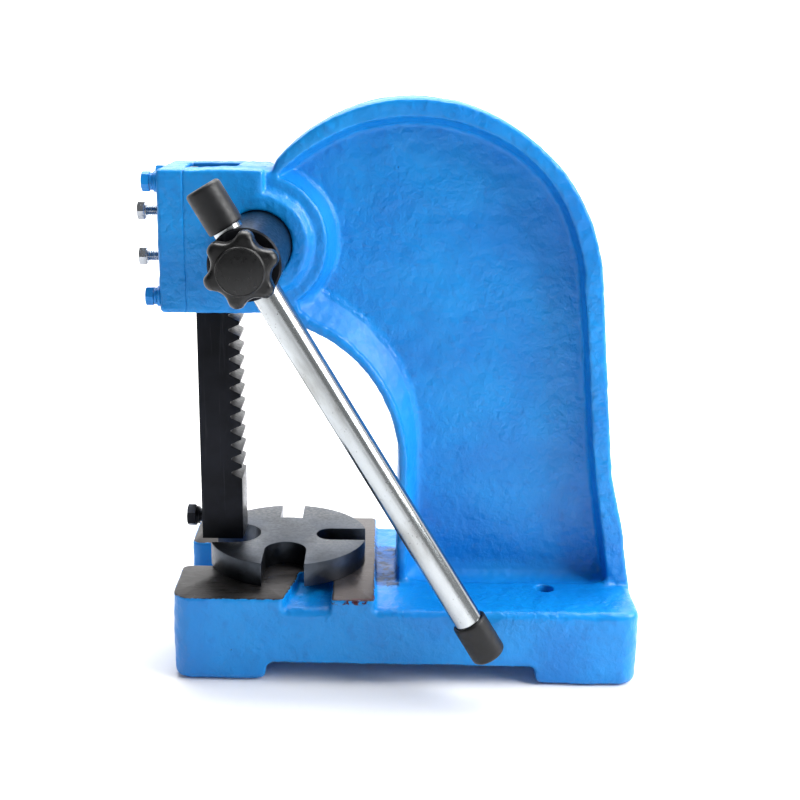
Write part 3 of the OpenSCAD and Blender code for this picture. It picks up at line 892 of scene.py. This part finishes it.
def casting_paint():
    """The enamel, smoother on drafted walls, with bare pads, a dark strip behind them that is painted shade
    over a dark crust, and traces of red.
    """
    look = Look("casting_paint", Specular_IOR_Level=PAINT_GLOSS)
    colour, roughness, height = paint_parts(look)
    x, y, z = [look.axis(a) for a in "XYZ"]
    side = look.math("ABSOLUTE", y)
    past_web = look.ramp(side, (web_half + 1) * MM, (web_half + 3) * MM)
    before_rim = look.ramp(side, (rim_half - 0.5) * MM, (rim_half - 2) * MM)
    wall = look.math("MULTIPLY", past_web, before_rim)
    height = look.math("MULTIPLY", height, look.blend(wall, 1.0, 0.35))
    roughness = look.math("ADD", roughness, look.math("MULTIPLY", wall, 0.14))

    ragged = look.noise(420, 3)
    bare = inside(look, look.total((ragged, 0.0012), (z, 1.0)), pad_z + 0.35, pad_z + 2.2, 0.2)
    bare = look.math("MULTIPLY", bare, look.ramp(x, (pad_x1 + 1) * MM, (pad_x1 + 0.5) * MM))
    milling = look.noise(90, 4, 0.6, stretch=(1, 14, 1))
    steel = look.mix(look.ramp(milling, 0.3, 0.7), rgb(38, 36, 36), rgb(62, 59, 58))
    stain = look.ramp(look.noise(32, 3), 0.42, 0.62, 0, 0.75)
    steel = look.mix(stain, steel, rgb(26, 25, 25))
    towards_rear = look.ramp(x, 30 * MM, 70 * MM, 0, 0.75)
    steel = look.mix(towards_rear, steel, rgb(80, 73, 71))

    # painted shade over a dark crust: the low strip between the pads and the column is darkened to shaded
    # blues
    strip = inside(look, look.total((ragged, 0.004), (x, 1.0)), pad_x1 + 2, column_x0 + 3, 1)
    across = inside(look, look.total((ragged, 0.012), (side, 1.0)), -1, 35, 2)
    strip = look.math("MULTIPLY", strip, across)
    strip = look.math("MULTIPLY", strip, inside(look, z, base_h - 3, base_h + 9, 2))
    shade_and_crust = look.mix(look.ramp(look.noise(190, 4, 0.6), 0.4, 0.58), rgb(9, 22, 40), rgb(18, 84, 156))
    colour = look.mix(look.math("MULTIPLY", strip, 0.85), colour, shade_and_crust)

    past_base = -base_half - 1.5
    rear_edge = inside(look, x, pad_x1 - 1.5, pad_x1 + 1.5, 1)
    near_edge = inside(look, y, past_base, -base_half + 2.5, 1)
    edge = look.math("MAXIMUM", rear_edge, near_edge)
    edge = look.math("MULTIPLY", edge, inside(look, x, 68, pad_x1 + 2, 1))
    edge = look.math("MULTIPLY", edge, inside(look, y, past_base, -46, 6))
    edge = look.math("MULTIPLY", edge, inside(look, z, pad_z - 2.5, pad_z + 1, 0.5))
    red = look.math("MULTIPLY", edge, look.ramp(look.noise(260, 4, 0.6), 0.53, 0.6))

    colour = look.mix(bare, colour, steel)
    steel_roughness = look.ramp(milling, 0.3, 0.7, 0.26, 0.4)
    look.set(look.shader, "Base Color", look.mix(red, colour, rgb(66, 12, 20)))
    look.set(look.shader, "Metallic", look.blend(look.math("SUBTRACT", bare, red), 0.0, 0.7))
    look.set(look.shader, "Roughness", look.blend(bare, roughness, steel_roughness))
    look.relief(look.blend(bare, height, look.total((milling, 0.05))))
    return look.material


def plain(name, dark, light, roughness, metallic=1.0, relief=0.03, **constants):
    """A metal or plastic of one colour, a little uneven, with a fine grain."""
    look = Look(name, Metallic=metallic, **constants)
    grain, broad = look.noise(480, 4, 0.6), look.noise(48, 3)
    look.set(look.shader, "Base Color", look.mix(look.ramp(broad, 0.3, 0.7), rgb(*dark), rgb(*light)))
    look.set(look.shader, "Roughness", look.ramp(grain, 0.3, 0.7, roughness - 0.06, roughness + 0.1))
    look.relief(look.total((grain, relief)))
    return look.material


def plated_bar():
    """Drawn bar, plated, with fine scratches along it and small spots where the plating is worn."""
    look = Look("plated_bar", Metallic=1.0)
    tilt = math.atan2(slide_axis[0], slide_axis[2])
    inputs = {"Vector": look.place, "Angle": -tilt}
    look.place = look.add("ShaderNodeVectorRotate", inputs, rotation_type="Y_AXIS").outputs[0]
    streaks = look.noise(900, 3, 0.6, stretch=(1, 1, 0.03))
    spots = look.ramp(look.cells(390), 0.18, 0.07)
    spots = look.math("MULTIPLY", spots, look.ramp(look.noise(60, 3), 0.44, 0.56))
    blotch = look.ramp(look.noise(55, 4, 0.6, stretch=(1, 1, 0.35)), 0.42, 0.7)
    colour = look.mix(blotch, rgb(184, 189, 192), rgb(154, 156, 155))
    colour = look.mix(look.math("MULTIPLY", spots, 0.6), colour, rgb(92, 88, 82))
    look.set(look.shader, "Base Color", colour)
    look.set(look.shader, "Roughness", look.total((streaks, 0.12), (blotch, 0.1), (0.1, 1.0)))
    look.relief(look.total((streaks, 0.012), (spots, -0.03)))
    return look.material


def black_oxide():
    """Blackened steel, with lighter streaks of scuffing where the steel shows through."""
    look = Look("black_oxide", Metallic=0.85)
    broad, grain = look.noise(40, 3), look.noise(520, 3)
    scuffs = look.noise(260, 3, 0.6, stretch=(1, 1, 0.06))
    colour = look.mix(look.ramp(broad, 0.3, 0.7), rgb(13, 15, 19), rgb(22, 24, 30))
    colour = look.mix(look.ramp(scuffs, 0.6, 0.76, 0, 0.35), colour, rgb(62, 65, 70))
    look.set(look.shader, "Base Color", colour)
    look.set(look.shader, "Roughness", look.ramp(grain, 0.3, 0.7, 0.3, 0.44))
    look.relief(look.total((grain, 0.03), (scuffs, -0.015)))
    return look.material


def black_plastic():
    return plain("black_plastic", (6, 7, 8), (12, 13, 15), 0.32, 0.0, relief=0.02, Specular_IOR_Level=0.4)


def black_rubber():
    return plain("black_rubber", (15, 16, 18), (24, 25, 28), 0.42, 0.0, Specular_IOR_Level=0.35)


LOOKS = {
    "blue_paint": blue_paint(),
    "bare_steel": plain("bare_steel", (96, 98, 100), (126, 128, 130), 0.38),
    "zinc_steel": plain("zinc_steel", (150, 154, 160), (196, 200, 204), 0.2),
    "black_oxide": black_oxide(),
    "plated_bar": plated_bar(),
    "black_rubber": black_rubber(),
    "black_plastic": black_plastic(),
    "machined_steel": plain("machined_steel", (55, 59, 65), (74, 79, 87), 0.36),
}


def wear(obj, material):
    """Gives an object one material."""
    obj.data.materials.clear()
    obj.data.materials.append(material)


for part in frame["record"]["subparts"]:
    for material_slot in NODES[part["node"]].material_slots:
        material_slot.material = LOOKS[part["material_slot"]]
for piece in list(bpy.data.objects):
    if piece.get("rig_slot"):
        wear(piece, LOOKS[piece["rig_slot"]])
wear(casting, casting_paint())


# ---------- floor, light and camera ----------

def studio_floor():
    """A pale floor that curves up into a backdrop, and stays pale where the lamps don't reach."""
    half_width, front, back, bend, top = 9000, -9000, 1100, 900, 3200
    line = [(front, 0), (back, 0)]
    for a in np.radians(np.arange(6, 91, 6)):
        line.append((back + bend * math.sin(a), bend - bend * math.cos(a)))
    line.append((back + bend, top))
    points = [(sign * half_width, y, z) for y, z in line for sign in (-1, 1)]
    faces = [(2 * i, 2 * i + 1, 2 * i + 3, 2 * i + 2) for i in range(len(line) - 1)]
    floor = new_object("floor", points, faces)
    look = Look("floor_paint", Specular_IOR_Level=0.2)
    look.set(look.shader, "Base Color", look.mix(look.noise(3, 2), rgb(243, 243, 244), rgb(248, 248, 249)))
    look.set(look.shader, "Roughness", 0.7)
    away = look.add("ShaderNodeVectorMath", {0: look.place}, operation="LENGTH").outputs["Value"]
    look.set(look.shader, "Emission Color", (1.0, 1.0, 1.0, 1.0))
    look.set(look.shader, "Emission Strength", look.ramp(away, 0.6, 2.0, 0.0, 0.7))
    wear(floor, look.material)


def area_light(name, place, target, size, power, spread=180):
    """A lamp that faces a target, with places and sizes in metres, power in watts and spread in degrees."""
    data = bpy.data.lights.new(name, "AREA")
    data.shape = "RECTANGLE"
    data.size, data.size_y = size
    data.energy = power
    data.spread = math.radians(spread)
    lamp = bpy.data.objects.new(name, data)
    bpy.context.scene.collection.objects.link(lamp)
    lamp.location = place
    lamp.rotation_mode = "QUATERNION"
    lamp.rotation_quaternion = (Vector(target) - Vector(place)).to_track_quat("-Z", "Y")


def camera():
    """A camera on the lever's side, a little higher than the press and looking slightly down."""
    data = bpy.data.cameras.new("camera")
    data.lens = 54.58
    data.shift_x, data.shift_y = 0.068, -0.038
    data.clip_start, data.clip_end = 0.05, 20
    view = bpy.data.objects.new("camera", data)
    bpy.context.scene.collection.objects.link(view)
    pitch, yaw, roll = 0.2534, -0.0285, 0.0024
    forward = Vector((math.sin(yaw) * math.cos(pitch), math.cos(yaw) * math.cos(pitch), -math.sin(pitch)))
    view.location = (0.09414, -0.70057, 0.35281)
    view.rotation_mode = "QUATERNION"
    view.rotation_quaternion = forward.to_track_quat("-Z", "Y") @ Quaternion((0, 0, 1), roll)
    bpy.context.scene.camera = view


def surroundings():
    """A dim room, brighter overhead and to the right, with white walls where the camera sees them."""
    world = bpy.data.worlds.new("world")
    world.use_nodes = True
    tree = world.node_tree
    ray = tree.nodes.new("ShaderNodeTexCoord")
    split = tree.nodes.new("ShaderNodeSeparateXYZ")
    tree.links.new(ray.outputs["Generated"], split.inputs[0])
    add = tree.nodes.new("ShaderNodeMath")
    for term, (axis, low, high) in enumerate((("X", 0.02, 0.2), ("Z", 0.0, 0.17))):
        ramp = tree.nodes.new("ShaderNodeMapRange")
        ramp.interpolation_type = "SMOOTHSTEP"
        tree.links.new(split.outputs[axis], ramp.inputs["Value"])
        ramp.inputs["From Min"].default_value = -1.0
        ramp.inputs["To Min"].default_value, ramp.inputs["To Max"].default_value = low, high
        tree.links.new(ramp.outputs[0], add.inputs[term])
    seen = tree.nodes.new("ShaderNodeMix")
    tree.links.new(tree.nodes.new("ShaderNodeLightPath").outputs["Is Camera Ray"], seen.inputs[0])
    tree.links.new(add.outputs[0], seen.inputs[2])
    seen.inputs[3].default_value = 0.95
    tree.links.new(seen.outputs[0], tree.nodes["Background"].inputs["Strength"])
    tree.nodes["Background"].inputs["Color"].default_value = (1, 1, 1, 1)
    bpy.context.scene.world = world


studio_floor()
area_light("key", (1.05, -0.3, 0.78), (0.12, 0, 0.16), (0.6, 0.9), 9.5, 120)
area_light("fill", (-0.5, -1.5, 0.7), (0.1, 0, 0.16), (0.9, 0.9), 0.5)
area_light("top", (0.2, 0.45, 1.5), (0.1, 0.1, 0), (1.4, 1.0), 12.5, 110)
area_light("backdrop", (0.1, 0.6, 1.6), (0.1, 2.0, 0.3), (2.4, 0.6), 30)
camera()
surroundings()
bpy.context.scene.view_settings.view_transform = "Standard"
